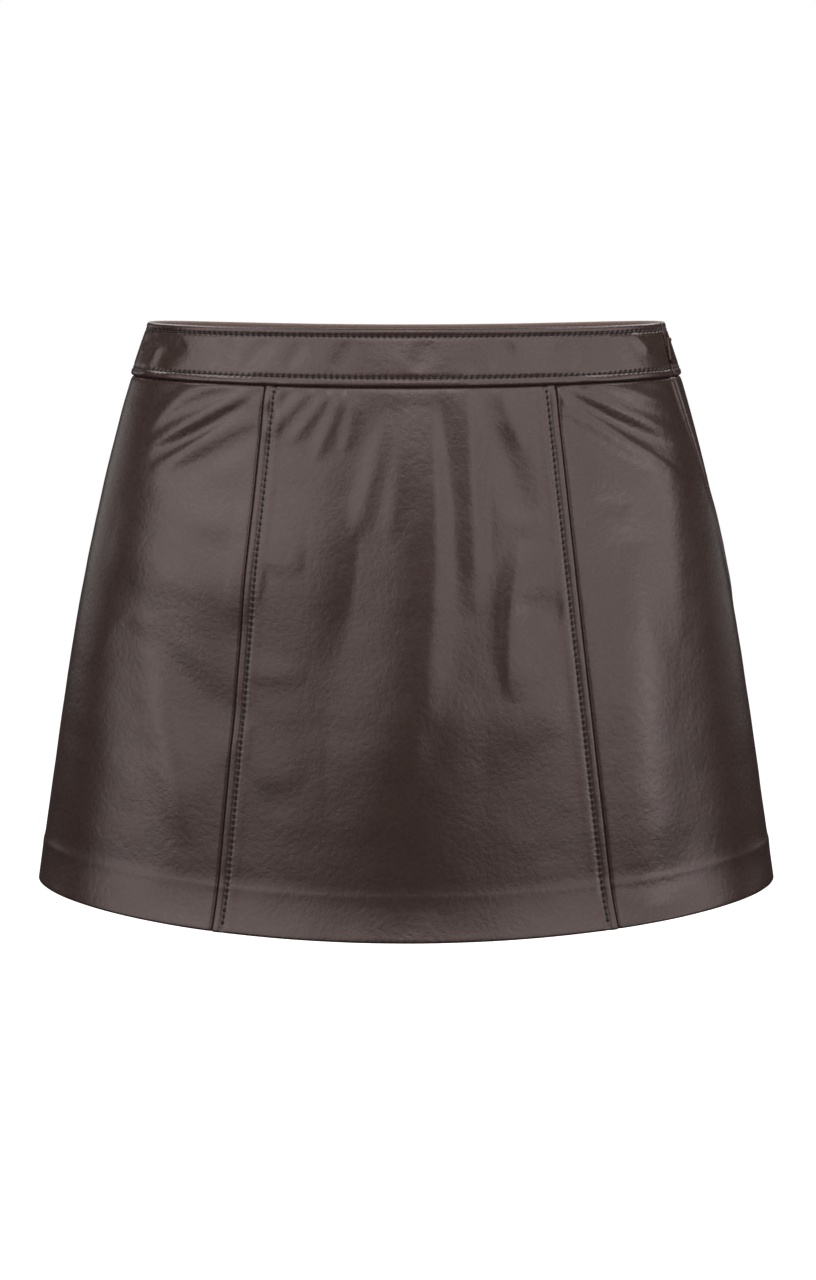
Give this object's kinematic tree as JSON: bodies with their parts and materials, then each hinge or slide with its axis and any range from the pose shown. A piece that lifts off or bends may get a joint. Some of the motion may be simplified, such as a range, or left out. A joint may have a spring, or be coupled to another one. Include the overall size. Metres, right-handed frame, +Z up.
{
  "type": "leather mini skirt",
  "caption": "Short A-line leather skirt, filled out as worn: panelled front, plain waistband, turned-up hem and a concealed zip in the side seam.",
  "frame": {"origin": "centre of the waistband, level with the middle of its height at the sides, where the wearer's waist holds the skirt", "axes": "+Z up, the front faces -Y, +X is the wearer's left, the side with the zip"},
  "size_m": [0.4485, 0.2128, 0.3544],
  "materials": {
    "leather": "satin",
    "zip_tape": "matt",
    "zip_metal": "satin"
  },
  "bodies": {
    "skirt": {"front_centre_panel": "leather", "front_side_panel_right": "leather", "front_side_panel_left": "leather", "back_panel": "leather", "waistband_front": "leather", "waistband_back": "leather", "zip_tape_front": "zip_tape", "zip_tape_back": "zip_tape", "zip_slider": "zip_metal"},
    "pull": {"zip_pull": "zip_metal"}
  },
  "joints": [
    {"name": "pull_swing", "type": "hinge", "parent": "skirt", "child": "pull", "pos_m": [0.15577, -0.01613, 0.00562], "axis": [-0.4673, -0.8781, 0.1025], "range_deg": [0, 165]}
  ]
}
